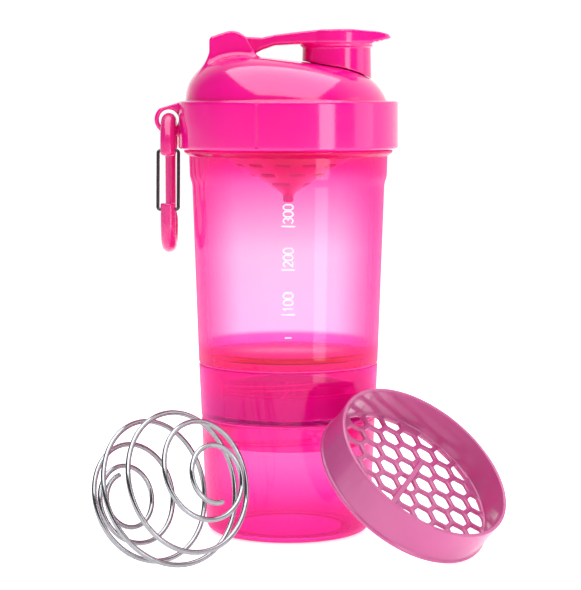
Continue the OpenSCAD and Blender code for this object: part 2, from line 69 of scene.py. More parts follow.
WALL = 2.0
FLOOR = 2.2
Z_LOWER = limits("lower_jar_seal")[1][2]
Z_UPPER = limits("upper_jar_seal")[1][2]
JAR_SEAL = Z_LOWER - limits("lower_jar_seal")[0][2]
Z_RIM = cup_high[2]
NECK_H = 17.6
Z_NECK = Z_RIM - NECK_H
FLANGE_H = 2.8
Z_FLANGE = Z_NECK - FLANGE_H
R_MOUTH = 45.0
R_NECK = R_MOUTH - 0.1
R_NECK_IN = R_NECK - WALL
SKIRT_H = Z_UPPER - cup_low[2]
SKIRT_WALL = 1.8
R_BASE = 37.5
R_JOINT = 40.9
CORNER = 5.0
THREAD_LEAD = 12.0
THREAD_STARTS = 3
THREAD_DEPTH = 1.2
THREAD_CLEAR = 0.5
THREAD_SPAN = math.radians(100)
THREAD_RISE = THREAD_LEAD * THREAD_SPAN / TAU
RIB_ROOM = THREAD_RISE / 2 + 1.4
PITCH = THREAD_LEAD / THREAD_STARTS
R_COLLAR_IN = R_NECK + THREAD_DEPTH + THREAD_CLEAR + 0.2
R_COLLAR = lid_high[0]
R_FLANGE = R_COLLAR_IN + 0.7
Z_COLLAR = lid_low[2]
Z_LEDGE = seal_high[2]
Z_TOP = Z_LEDGE + 1.9
R_DOME = R_COLLAR - 2.8
DOME_WALL = 2.4
HINGE_X = (pin_low[0] + pin_high[0]) / 2
HINGE_Z = (pin_low[2] + pin_high[2]) / 2
Z_DECK = HINGE_Z - 6.5
DECK_TILT = math.radians(7)
DECK_EDGE = 22.0
DECK_CROWN = 1.1
DECK_SHIFT = 2.2
DOME_DRAFT = 2.6
SPOUT_X = (plug_low[0] + plug_high[0]) / 2
SPOUT_R = 8.5
SPOUT_WALL = 2.0
Z_SPOUT = Z_DECK + 2.9
KNUCKLE_W = 14.0
FIT = 0.3
EAR = 5.6
PIN_R = (pin_high[0] - pin_low[0]) / 2
FUNNEL_SLOPE = math.tan(math.radians(32.4))


def jar_radius(z):
    """Outer radius of the jars at height z."""
    return R_BASE + (R_JOINT - R_BASE) * z / Z_UPPER


def jar_bore(z_joint):
    """Inner radius of a jar where the skirt in it ends."""
    return jar_radius(z_joint - SKIRT_H) - WALL


def skirt_radius(z_joint):
    return jar_bore(z_joint) - THREAD_DEPTH - THREAD_CLEAR


# ---------------------------------------------------------------- meshes
def make(name, points, faces, material, body, node=None, smooth=True):
    """A piece from points in millimetres, which rides on a body and stands for a CAD node."""
    mesh = bpy.data.meshes.new(name)
    mesh.from_pydata((np.asarray(points) * MM).tolist(), [], [list(map(int, f)) for f in faces])
    mesh.validate()
    mesh.polygons.foreach_set("use_smooth", [smooth] * len(mesh.polygons))
    mesh.update()
    piece = bpy.data.objects.new(name, mesh)
    bpy.context.collection.objects.link(piece)
    piece.data.materials.append(material)
    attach(piece, body)
    if node:
        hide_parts(node)
    return piece


def rounded(corners, steps=5):
    """An outline through (r, z, fillet) corners, each fillet drawn as an arc."""
    points = []
    for i, (r, z, fillet) in enumerate(corners):
        here = np.array([r, z])
        if fillet == 0:
            points.append(here)
            continue
        before = np.array(corners[i - 1][:2]) - here
        after = np.array(corners[(i + 1) % len(corners)][:2]) - here
        a, b = np.linalg.norm(before), np.linalg.norm(after)
        before, after = before / a, after / b
        half = math.acos(np.clip(before @ after, -1, 1)) / 2
        reach = min(fillet / math.tan(half), 0.49 * a, 0.49 * b)
        radius = reach * math.tan(half)
        centre = here + (before + after) / np.linalg.norm(before + after) * radius / math.sin(half)
        start, end = here + before * reach - centre, here + after * reach - centre
        turn = math.atan2(start[0] * end[1] - start[1] * end[0], start @ end)
        for k in range(steps + 1):
            c, s = math.cos(turn * k / steps), math.sin(turn * k / steps)
            points.append(centre + np.array([c * start[0] - s * start[1], s * start[0] + c * start[1]]))
    return np.array(points)


def rib_height(theta, z, middle, side):
    """How far the thread ribs stand out at an angle and a height: a rounded rib on each helix."""
    height = np.zeros(np.broadcast(theta, z).shape)
    for start in range(THREAD_STARTS):
        turn = (theta - start * TAU / THREAD_STARTS + math.pi) % TAU - math.pi
        off = np.abs(z - middle - turn * THREAD_LEAD / TAU)
        run_in = np.clip((THREAD_SPAN / 2 - np.abs(turn)) / 0.12, 0, 1)
        section = np.clip((0.95 - off) / 0.55, 0, 1)
        height = np.maximum(height, THREAD_DEPTH * section**0.8 * run_in)
    return side * height


def lathe(outline, segments=224, ribs=()):
    """A closed outline of (r, z) turned about Z. ribs are (low z, high z, wall radius, middle, side)."""
    count = len(outline)
    theta = np.arange(segments) * TAU / segments
    r = np.repeat(outline[:, 0][:, None], segments, axis=1)
    z = np.repeat(outline[:, 1][:, None], segments, axis=1)
    for low, high, wall, middle, side in ribs:
        on = (np.abs(outline[:, 0] - wall) < 0.7) & (outline[:, 1] > low) & (outline[:, 1] < high)
        r[on] += rib_height(theta[None, :], z[on], middle, side)
    points = np.stack([r * np.cos(theta), r * np.sin(theta), z], axis=-1).reshape(-1, 3)
    faces = []
    for i in range(count):
        j = (i + 1) % count
        if outline[i, 0] < 1e-6 and outline[j, 0] < 1e-6:
            continue
        for k in range(segments):
            m = (k + 1) % segments
            a, b, c, d = i * segments + k, i * segments + m, j * segments + m, j * segments + k
            if outline[i, 0] < 1e-6:
                faces.append((i * segments, c, d))
            elif outline[j, 0] < 1e-6:
                faces.append((a, b, j * segments))
            else:
                faces.append((a, b, c, d))
    used = np.unique(np.concatenate([np.array(f) for f in faces]))
    place = -np.ones(len(points), int)
    place[used] = np.arange(len(used))
    return points[used], [tuple(place[list(f)]) for f in faces]


def tube(path, radii, sides=16, closed=False, up=(0.0, 0.0, 1.0)):
    """A round bar swept along a path, with flat ends if it isn't closed."""
    path = np.asarray(path, float)
    n = len(path)
    radii = np.broadcast_to(radii, n)
    ahead = np.roll(path, -1, axis=0) - np.roll(path, 1, axis=0)
    if not closed:
        ahead[0], ahead[-1] = path[1] - path[0], path[-1] - path[-2]
    ahead /= np.linalg.norm(ahead, axis=1)[:, None]
    side = np.cross(up, ahead[0])
    side /= np.linalg.norm(side)
    points = []
    angle = np.arange(sides) * TAU / sides
    for i in range(n):
        side = side - (side @ ahead[i]) * ahead[i]
        side /= np.linalg.norm(side)
        other = np.cross(ahead[i], side)
        points.append(path[i] + radii[i] * (np.cos(angle)[:, None] * side + np.sin(angle)[:, None] * other))
    points = np.concatenate(points)
    faces = []
    for i in range(n if closed else n - 1):
        j = (i + 1) % n
        for k in range(sides):
            m = (k + 1) % sides
            faces.append((i * sides + k, i * sides + m, j * sides + m, j * sides + k))
    if not closed:
        faces.append(tuple(range(sides))[::-1])
        faces.append(tuple((n - 1) * sides + k for k in range(sides)))
    return points, faces


# ---------------------------------------------------------------- solids as distance fields
class Field:
    """A box of sample points, in millimetres, for shapes that are given by their distance."""

    def __init__(self, low, high, step):
        self.low, self.step = np.array(low, float), step
        axes = [np.arange(a, b + step, step, dtype=np.float32) for a, b in zip(low, high)]
        self.x, self.y, self.z = np.meshgrid(*axes, indexing="ij", sparse=True)
        self.rho = np.hypot(self.x, self.y)
        self.theta = np.arctan2(self.y, self.x)


def join(a, b, blend):
    """The union of two shapes, with a fillet of about that size where they meet."""
    h = np.clip(0.5 + 0.5 * (b - a) / blend, 0, 1)
    return b + (a - b) * h - blend * h * (1 - h)


def both(a, b, blend):
    return -join(-a, -b, blend)


def cut(a, b, blend):
    return -join(-a, b, blend)


def slab(value, low, high):
    return np.maximum(low - value, value - high)


def box2(u, v, corner=0.0):
    """Rounded corner where two slab distances meet."""
    u, v = u + corner, v + corner
    return np.hypot(np.maximum(u, 0), np.maximum(v, 0)) + np.minimum(np.maximum(u, v), 0) - corner


def outline_distance(u, v, corners):
    """Signed distance to a polygon, negative inside."""
    corners = np.asarray(corners, float)
    best = np.full(np.broadcast(u, v).shape, 1e9, np.float32)
    inside = np.zeros(best.shape, bool)
    for (x0, y0), (x1, y1) in zip(corners, np.roll(corners, -1, axis=0)):
        dx, dy = x1 - x0, y1 - y0
        t = np.clip(((u - x0) * dx + (v - y0) * dy) / (dx * dx + dy * dy), 0, 1)
        best = np.minimum(best, (u - x0 - t * dx) ** 2 + (v - y0 - t * dy) ** 2)
        crosses = ((y0 > v) != (y1 > v)) & (u < (x1 - x0) * (v - y0) / (y1 - y0 + 1e-12) + x0)
        inside ^= crosses
    return np.where(inside, -1, 1) * np.sqrt(best)


def arc(centre, radius, start, end, steps=8):
    """Points on an arc, with its angles in degrees."""
    return [(centre[0] + radius * math.cos(math.radians(start + (end - start) * k / steps)),
             centre[1] + radius * math.sin(math.radians(start + (end - start) * k / steps)))
            for k in range(steps + 1)]


EDGES = [((0, 0, 0), 0), ((0, 1, 0), 0), ((0, 0, 1), 0), ((0, 1, 1), 0),
         ((0, 0, 0), 1), ((1, 0, 0), 1), ((0, 0, 1), 1), ((1, 0, 1), 1),
         ((0, 0, 0), 2), ((1, 0, 0), 2), ((0, 1, 0), 2), ((1, 1, 0), 2)]


def skin(values, field):
    """The surface where a field is zero, as points and quads, by surface nets."""
    values = np.ascontiguousarray(values, dtype=np.float32)
    inside = values < 0
    count = np.zeros([n - 1 for n in values.shape], np.int8)
    for i in (0, 1):
        for j in (0, 1):
            for k in (0, 1):
                count += inside[i:i + count.shape[0], j:j + count.shape[1], k:k + count.shape[2]]
    active = (count > 0) & (count < 8)
    index = np.full(active.shape, -1, np.int64)
    cells = np.argwhere(active)
    index[active] = np.arange(len(cells))
    total = np.zeros((len(cells), 3))
    weight = np.zeros(len(cells))
    for corner, axis in EDGES:
        a = cells + corner
        b = a.copy()
        b[:, axis] += 1
        fa, fb = values[tuple(a.T)], values[tuple(b.T)]
        crossed = (fa < 0) != (fb < 0)
        t = fa[crossed] / (fa[crossed] - fb[crossed])
        at = np.tile(np.array(corner, float), (len(t), 1))
        at[:, axis] += t
        total[crossed] += at
        weight[crossed] += 1
    points = cells + total / weight[:, None]
    quads = []
    for axis in range(3):
        u, v = (axis + 1) % 3, (axis + 2) % 3
        a = np.take(inside, range(inside.shape[axis] - 1), axis)
        b = np.take(inside, range(1, inside.shape[axis]), axis)
        spots = np.argwhere(a != b)
        spots = spots[(spots[:, u] > 0) & (spots[:, v] > 0)
                      & (spots[:, u] < inside.shape[u] - 1) & (spots[:, v] < inside.shape[v] - 1)]
        flip = a[tuple(spots.T)]
        ring = []
        for du, dv in ((-1, -1), (0, -1), (0, 0), (-1, 0)):
            at = spots.copy()
            at[:, u] += du
            at[:, v] += dv
            ring.append(index[tuple(at.T)])
        ring = np.stack(ring, axis=1)
        ring[~flip] = ring[~flip][:, ::-1]
        quads.append(ring)
    points = settle(points, values)
    return field.low + points * field.step, np.concatenate(quads)


def sample(values, points):
    """A field's value between its sample points, in steps of its grid."""
    top = np.array(values.shape) - 1.001
    p = np.clip(points, 0, top)
    i = p.astype(int)
    t = p - i
    out = 0.0
    for dx in (0, 1):
        for dy in (0, 1):
            for dz in (0, 1):
                w = ((t[:, 0] if dx else 1 - t[:, 0]) * (t[:, 1] if dy else 1 - t[:, 1])
                     * (t[:, 2] if dz else 1 - t[:, 2]))
                out = out + w * values[i[:, 0] + dx, i[:, 1] + dy, i[:, 2] + dz]
    return out


def settle(points, values, rounds=3, reach=0.5):
    """Moves points onto the zero surface along the field's slope."""
    for _ in range(rounds):
        here = sample(values, points)
        slope = np.stack([(sample(values, points + step) - sample(values, points - step)) / (2 * reach)
                          for step in np.eye(3) * reach], axis=1)
        size = np.maximum((slope**2).sum(axis=1), 1e-6)
        limit = np.minimum(1, 0.4 * np.sqrt(size) / np.maximum(np.abs(here), 1e-9))
        points = points - (here / size * limit)[:, None] * slope
    return points


# ---------------------------------------------------------------- materials
def nodes_of(name):
    material = bpy.data.materials.new(name)
    material.use_nodes = True
    tree = material.node_tree
    return material, tree, tree.nodes["Principled BSDF"]


def fill(tree, node, values, links=()):
    """Sets some inputs of a node to values, and joins others to the sockets in links."""
    for name, value in values.items():
        node.inputs[name].default_value = value
    for name, socket in dict(links).items():
        tree.links.new(socket, node.inputs[name])
    return node


def add_node(tree, kind, values=(), links=()):
    return fill(tree, tree.nodes.new("ShaderNode" + kind), dict(values), links)


def noise(tree, scale, detail=2.0, rough=0.5, stretch=(1, 1, 1)):
    """A noise texture fixed to the object, with its scale in waves per metre."""
    place = add_node(tree, "TexCoord")
    mapping = add_node(tree, "Mapping", {"Scale": stretch}, {"Vector": place.outputs["Object"]})
    return add_node(tree, "TexNoise", {"Scale": scale, "Detail": detail, "Roughness": rough},
                    {"Vector": mapping.outputs["Vector"]}).outputs["Fac"]


def spread(tree, value, low, high, start=0.3, end=0.7):
    """A value mapped from its middle range to low ... high."""
    return add_node(tree, "MapRange", {"From Min": start, "From Max": end, "To Min": low, "To Max": high},
                    {"Value": value}).outputs["Result"]


def blend_colour(tree, value, first, second):
    node = tree.nodes.new("ShaderNodeMix")
    node.data_type = "RGBA"
    return fill(tree, node, {"A": (*first, 1), "B": (*second, 1)}, {"Factor": value}).outputs["Result"]


def bump(tree, height, strength, distance, onto=None):
    links = {"Height": height, "Normal": onto} if onto else {"Height": height}
    return add_node(tree, "Bump", {"Strength": strength, "Distance": distance}, links).outputs["Normal"]


def moulded(name, colour, darker, gloss=(0.10, 0.17), glow=0.08, clear=0.0):
    """Injection-moulded plastic: slight flow marks in its colour, gloss and surface."""
    material, tree, shader = nodes_of(name)
    flow = noise(tree, 38, 3, 0.55, (1, 1, 0.45))
    grain = noise(tree, 2600, 2, 0.6)
    soft = bump(tree, flow, 0.03, 0.0002)
    fill(tree, shader, {
        "IOR": 1.5, "Transmission Weight": clear, "Coat Weight": 0.25, "Coat Roughness": 0.05,
        "Subsurface Weight": glow, "Subsurface Radius": (1.0, 0.35, 0.6), "Subsurface Scale": 0.003,
    }, {
        "Base Color": blend_colour(tree, spread(tree, flow, 0, 1), colour, darker),
        "Roughness": spread(tree, noise(tree, 150, 4, 0.6), *gloss),
        "Normal": bump(tree, grain, 0.012, 0.00004, soft)})
    return material


def tinted(name, colour, density, haze, milk, stages, through=0.5, rough=(0.02, 0.08)):
    """Clear plastic with the colour in its thickness, so that edges and doubled walls are deeper.

    stages are (height in metres, surface tint), from low to high: where the tint changes with height, it is
    painted shade on the wall. haze is the share of light that the
    plastic scatters, in the colour milk: face on, and through a wall that is seen on the slant. The
    share through of it goes on through the wall.
    """
    material, tree, shader = nodes_of(name)
    flow = noise(tree, 45, 3, 0.5, (1, 1, 0.4))
    place = add_node(tree, "TexCoord")
    apart = add_node(tree, "SeparateXYZ", {}, {"Vector": place.outputs["Object"]})
    top = max(stages[-1][0], 0.01)
    # surface tint by height; where the stages differ, this paints shade on the wall
    ramp = add_node(tree, "ValToRGB", {}, {"Fac": spread(tree, apart.outputs["Z"], 0, 1, 0, top)})
    stops = ramp.color_ramp.elements
    while len(stops) < len(stages):
        stops.new(1.0)
    for stop, (height, tint) in zip(stops, stages):
        stop.position = height / top
        stop.color = (*tint, 1)
    skin_waves = bump(tree, flow, 0.08, 0.0003)
    fill(tree, shader, {"Transmission Weight": 1, "IOR": 1.14, "Coat Weight": 0.4, "Coat Roughness": 0.03},
         {"Base Color": ramp.outputs["Color"], "Normal": skin_waves,
          "Roughness": spread(tree, noise(tree, 120, 3, 0.6), *rough)})
    paler = tuple(min(1, 1.08 * c) for c in milk)
    cloudy = blend_colour(tree, spread(tree, flow, 0, 1), milk, paler)
    milky = add_node(tree, "MixShader", {"Fac": through})
    for socket, kind in ((1, "BsdfDiffuse"), (2, "BsdfTranslucent")):
        part = add_node(tree, kind, {}, {"Color": cloudy, "Normal": skin_waves})
        tree.links.new(part.outputs["BSDF"], milky.inputs[socket])
    slant = add_node(tree, "LayerWeight", {"Blend": 0.5})
    facing_up = add_node(tree, "SeparateXYZ", {}, {"Vector": place.outputs["Normal"]})
    level = add_node(tree, "Math", {}, {0: facing_up.outputs["Z"]})
    level.operation = "ABSOLUTE"
    upright = add_node(tree, "Math", {}, {
        0: spread(tree, slant.outputs["Facing"], *haze, 0.15, 0.9),
        1: spread(tree, level.outputs["Value"], 1, 0.1, 0.6, 0.95)})
    upright.operation = "MULTIPLY"
    mixed = add_node(tree, "MixShader", {}, {
        "Fac": upright.outputs["Value"], 1: shader.outputs["BSDF"], 2: milky.outputs["Shader"]})
    # a lamp lights what stands behind the wall, in the wall's own colour
    light_path = add_node(tree, "LightPath")
    past = add_node(tree, "BsdfTransparent", {"Color": (0.96, 0.60, 0.84, 1)})
    lit = add_node(tree, "MixShader", {}, {
        "Fac": light_path.outputs["Is Shadow Ray"], 1: mixed.outputs["Shader"], 2: past.outputs["BSDF"]})
    absorb = add_node(tree, "VolumeAbsorption", {"Color": (*colour, 1), "Density": density})
    fill(tree, tree.nodes["Material Output"], {},
         {"Surface": lit.outputs["Shader"], "Volume": absorb.outputs["Volume"]})
    return material


def steel(name, colour, rough, stretch=(1, 1, 1), scale=900):
    material, tree, shader = nodes_of(name)
    streak = noise(tree, scale, 4, 0.65, stretch)
    darker = tuple(0.82 * c for c in colour)
    fill(tree, shader, {"Metallic": 1.0}, {
        "Base Color": blend_colour(tree, spread(tree, streak, 0, 1), colour, darker),
        "Roughness": spread(tree, streak, *rough), "Normal": bump(tree, streak, 0.06, 0.00004)})
    return material


def silicone(name, colour):
    material, tree, shader = nodes_of(name)
    dust = noise(tree, 300, 5, 0.7)
    paler = tuple(min(1, 1.12 * c) for c in colour)
    fill(tree, shader, {"Subsurface Weight": 0.3, "Subsurface Scale": 0.002}, {
        "Base Color": blend_colour(tree, spread(tree, dust, 0, 1), colour, paler),
        "Roughness": spread(tree, dust, 0.42, 0.62),
        "Normal": bump(tree, noise(tree, 1800, 2), 0.08, 0.00006)})
    return material


lid_plastic = moulded("lid_plastic", (0.86, 0.003, 0.27), (0.80, 0.002, 0.24))
tray_plastic = moulded("tray_plastic", (0.66, 0.001, 0.20), (0.60, 0.001, 0.18))
strainer_plastic = moulded("strainer_plastic", (0.74, 0.002, 0.27), (0.68, 0.001, 0.24))
carabiner_paint = moulded("carabiner_paint", (0.78, 0.02, 0.24), (0.70, 0.012, 0.20), (0.16, 0.3), 0.02)
PINK = (0.98, 0.15, 0.77)
# the cup's tint by height is painted shade: deeper below its floor and towards the top under the lid, pale
# between
cup_plastic = tinted("cup_plastic", PINK, 152, (0.05, 0.7), (1.0, 0.03, 0.44), (
    (0.0858, (1.0, 0.14, 0.56)), (0.0878, (1.0, 0.86, 0.92)), (0.128, (1.0, 0.96, 0.97)),
    (0.141, (1.0, 0.80, 0.91)), (0.154, (1.0, 0.58, 0.82)), (0.160, (1.0, 0.42, 0.76)),
    (0.167, (0.98, 0.13, 0.58)), (0.174, (0.95, 0.02, 0.42))))
joint_plastic = tinted("joint_plastic", PINK, 80, (0.26, 0.65), (1.0, 0.004, 0.46), (
    (0.045, (1.0, 0.24, 0.86)), (0.078, (1.0, 0.24, 0.86))), 0.35)
# the jar's tint by height is painted shade: darker and deeper towards its base
jar_plastic = tinted("jar_plastic", PINK, 110, (0.16, 0.6), (1.0, 0.04, 0.42), (
    (0.0, (0.66, 0.03, 0.38)), (0.010, (0.86, 0.14, 0.56)), (0.024, (1.0, 0.46, 0.76)),
    (0.045, (1.0, 0.46, 0.76))))
sieve_plastic = moulded("sieve_plastic", (0.60, 0.11, 0.32), (0.55, 0.09, 0.29), (0.14, 0.26), 0.2, 0.12)
seal_silicone = silicone("seal_silicone", (0.88, 0.05, 0.40))
pin_steel = steel("pin_steel", (0.62, 0.62, 0.64), (0.22, 0.38))
gate_steel = steel("gate_steel", (0.10, 0.095, 0.10), (0.26, 0.42))
ball_steel = steel("ball_steel", (0.34, 0.35, 0.37), (0.08, 0.18), (1, 1, 1), 420)
mark_paint = silicone("mark_paint", (0.95, 0.93, 0.95))


# ---------------------------------------------------------------- jars and cup
def spaced(outline, zones=(), fine=0.32, coarse=5.0):
    """The outline with more points: close together in the height zones that hold threads."""
    out = []
    for a, b in zip(outline, np.roll(outline, -1, axis=0)):
        length = np.linalg.norm(b - a)
        marks = set(np.linspace(0, 1, max(1, int(np.ceil(length / coarse))) + 1)[:-1])
        for low, high in zones:
            if abs(b[1] - a[1]) > 0.7 * length and length > 0.5:
                t0, t1 = sorted(((low - a[1]) / (b[1] - a[1]), (high - a[1]) / (b[1] - a[1])))
                t0, t1 = max(0, t0), min(1, t1)
                if t1 > t0:
                    marks |= set(np.linspace(t0, t1, max(2, int((t1 - t0) * length / fine))))
        out += [a + (b - a) * t for t in sorted(marks) if t < 1 - 1e-6]
    return np.array(out)


def jar_thread(z_joint):
    middle = z_joint - SKIRT_H + RIB_ROOM
    return (middle - RIB_ROOM, middle + RIB_ROOM, jar_bore(z_joint), middle, -1)


def skirt_thread(z_joint):
    middle = z_joint - SKIRT_H + RIB_ROOM + PITCH / 2
    return (middle - RIB_ROOM, middle + RIB_ROOM, skirt_radius(z_joint), middle, 1)


def turned(name, corners, material, body, node, ribs=(), segments=224):
    zones = [(low, high) for low, high, *_ in ribs]
    points, faces = lathe(spaced(rounded(corners), zones), segments, ribs)
    return make(name, points, faces, material, body, node)


def skirt_corners(z_joint, under):
    """The inside and outside of a threaded skirt, from the middle of the floor above it."""
    r = skirt_radius(z_joint)
    return [(0, under, 0), (r - SKIRT_WALL, under, 1.2), (r - SKIRT_WALL, z_joint - SKIRT_H, 0.5),
            (r, z_joint - SKIRT_H, 0.7), (r, z_joint, 0.3)]


groove = R_BASE - CORNER - 5
rim = Z_LOWER - JAR_SEAL
turned("lower_jar_body", [
    (0, 0, 0), (groove - 3, 0, 0.3), (groove - 2.2, 0.8, 0.3), (groove - 0.8, 0.8, 0.3), (groove, 0, 0.3),
    (R_BASE, 0, CORNER), (jar_radius(rim), rim, 0.5), (jar_radius(rim) - WALL, rim, 0.4),
    (R_BASE - WALL, FLOOR, 3), (0, FLOOR, 0)],
    jar_plastic, "lower_jar", "lower_jar", [jar_thread(Z_LOWER)])

rim = Z_UPPER - JAR_SEAL
r_joint = jar_radius(Z_LOWER)
turned("upper_jar_body", skirt_corners(Z_LOWER, Z_LOWER) + [
    (r_joint, Z_LOWER, 0.5), (jar_radius(rim), rim, 0.5), (jar_radius(rim) - WALL, rim, 0.4),
    (r_joint - WALL, Z_LOWER + FLOOR, 1.2), (0, Z_LOWER + FLOOR, 0)],
    joint_plastic, "upper_jar", "upper_jar", [skirt_thread(Z_LOWER), jar_thread(Z_UPPER)])

z_floor = Z_UPPER + 2.4 + FLOOR
z_band = Z_FLANGE - 8
z_blend = z_band - 6
r_blend = R_MOUTH - 1.4
ease = [(t / 6, 3 * (t / 6) ** 2 - 2 * (t / 6) ** 3) for t in range(1, 6)]
neck_middle = Z_NECK + RIB_ROOM + PITCH / 2
turned("cup_body", skirt_corners(Z_UPPER, z_floor - FLOOR) + [
    (R_JOINT, Z_UPPER, 0.5), (r_blend, z_blend, 0)]
    + [(r_blend + (R_MOUTH - 0.2 - r_blend) * k, z_blend + 6 * t, 0) for t, k in ease] + [
    (R_MOUTH - 0.2, z_band, 0), (R_MOUTH, Z_FLANGE, 0.6), (R_FLANGE - 0.4, Z_FLANGE + 1.6, 0.6),
    (R_FLANGE - 0.1, Z_NECK, 0.4), (R_NECK, Z_NECK, 0.5), (R_NECK, Z_RIM, 0.5), (R_NECK_IN, Z_RIM, 0.5),
    (R_NECK_IN, z_band, 0)]
    + [(r_blend - WALL + (R_NECK_IN - r_blend + WALL) * k, z_blend + 6 * t, 0) for t, k in ease[::-1]] + [
    (r_blend - WALL, z_blend, 0), (R_JOINT - WALL + 0.1, z_floor, 3), (0, z_floor, 0)],
    cup_plastic, "cup", "cup",
    [skirt_thread(Z_UPPER), (neck_middle - RIB_ROOM, neck_middle + RIB_ROOM, R_NECK, neck_middle, 1)])


def flat_ring(node, body):
    """A flat seal with rounded edges."""
    low, high = limits(node)
    outer = high[0]
    thick = high[2] - low[2]
    inner = outer - (WALL - 0.8 if thick < 1 else 2.7)
    turned(node + "_ring", [(inner, low[2], 0.25), (outer, low[2], 0.25), (outer, high[2], 0.25),
                            (inner, high[2], 0.25)], seal_silicone, body, node)


flat_ring("lower_jar_seal", "lower_joint")
flat_ring("upper_jar_seal", "upper_joint")
flat_ring("lid_seal", "lid_joint")


# ---------------------------------------------------------------- volume marks on the cup's front
def cup_radius(z):
    return R_JOINT + (r_blend - R_JOINT) * (z - Z_UPPER) / (z_blend - Z_UPPER)


def ribbon(line, width, closed=False):
    """Left and right edges of a stroke through 2-D points, with mitred corners."""
    line = np.asarray(line, float)
    n = len(line)
    edges = []
    for i in range(n):
        before = line[i] - line[i - 1] if closed or i > 0 else None
        after = line[(i + 1) % n] - line[i] if closed or i < n - 1 else None
        before = after if before is None else before
        after = before if after is None else after
        a = np.array([-before[1], before[0]]) / np.linalg.norm(before)
        b = np.array([-after[1], after[0]]) / np.linalg.norm(after)
        mitre = (a + b) / max(1 + a @ b, 0.35)
        edges.append((line[i] + mitre * width / 2, line[i] - mitre * width / 2))
    return edges


def print_stroke(line, width, points, faces, closed=False):
    """Adds a stroke, printed on the cup, to a list of points and faces. line is (across, height)."""
    fine = []
    count = len(line) if closed else len(line) - 1
    for i in range(count):
        a, b = np.array(line[i], float), np.array(line[(i + 1) % len(line)], float)
        parts = max(1, int(np.linalg.norm(b - a) / 1.5))
        fine += [tuple(a + (b - a) * k / parts) for k in range(parts)]
    if not closed:
        fine.append(tuple(line[-1]))
    edges = ribbon(fine, width, closed)
    start = len(points)
    for left, right in edges:
        for (across, z), lift in ((left, 0.0), (right, 0.0), (right, 0.09), (left, 0.09)):
            r = cup_radius(z) + lift
            angle = across / r
            points.append((r * math.sin(angle), -r * math.cos(angle), z))
    n = len(edges)
    for i in range(n if closed else n - 1):
        j = (i + 1) % n
        for k in range(4):
            m = (k + 1) % 4
            faces.append((start + 4 * i + k, start + 4 * j + k, start + 4 * j + m, start + 4 * i + m))
    if not closed:
        faces.append(tuple(start + k for k in (0, 1, 2, 3)))
        faces.append(tuple(start + 4 * (n - 1) + k for k in (3, 2, 1, 0)))


DIGITS = {
    "0": ([(0, 1), (0, 4), (1, 5), (2, 5), (3, 4), (3, 1), (2, 0), (1, 0)], True),
    "1": ([(0.5, 3.9), (1.7, 5), (1.7, 0)], False),
    "2": ([(0, 4), (1, 5), (2, 5), (3, 4), (3, 3.2), (0.2, 0.2), (3, 0.2)], False),
    "3": ([(0, 4.2), (1, 5), (2, 5), (3, 4.1), (3, 3.3), (2, 2.6),
           (3, 1.9), (3, 0.9), (2, 0), (1, 0), (0, 0.8)], False)}


def volume_marks():
    """Ticks every 50 ml and upright numbers every 100 ml, at the heights that the cup's bore gives."""
    points, faces = [], []
    z, filled = z_floor, 0.0
    for level in range(50, 351, 50):
        while filled < level * 1000:
            filled += math.pi * (cup_radius(z) - WALL) ** 2 * 0.25
            z += 0.25
        wide = 3.0 if level % 100 == 0 else 1.5
        print_stroke([(-wide, z), (wide, z)], 0.6, points, faces)
        if level % 100 == 0:
            at = z + 1.3
            for digit in str(level):
                line, closed = DIGITS[digit]
                turned_up = [(2.1 - 0.84 * v, at + 0.74 * u) for u, v in line]
                print_stroke(turned_up, 0.55, points, faces, closed)
                at += 2.95
    make("volume_marks", points, faces, mark_paint, "cup", None, False)


volume_marks()


# ---------------------------------------------------------------- lid
def dome_distance(f, inset):
    """The domed deck: a leaning side under a tilted crown with a deep round edge."""
    top = 18.3 + R_DOME * math.tan(DECK_TILT)
    lean = DOME_DRAFT / top
    side = (f.rho - (R_DOME - inset) + lean * (f.z - Z_TOP)) / math.hypot(1, lean)
    x, z = f.x - DECK_SHIFT, f.z - Z_DECK + inset
    along = x * math.cos(DECK_TILT) - z * math.sin(DECK_TILT)
    up = x * math.sin(DECK_TILT) + z * math.cos(DECK_TILT)
    edge = DECK_EDGE - inset
    flat = R_DOME - 0.4 - DECK_EDGE
    q = np.hypot(along, f.y)
    fall = DECK_CROWN * np.minimum(q / flat, 1) ** 2
    beyond = np.hypot(np.maximum(q - flat, 0), np.maximum(up + DECK_CROWN + edge, 0)) - edge
    crown = np.where(q > flat, beyond, up + fall)
    return both(side, crown, 1.5)


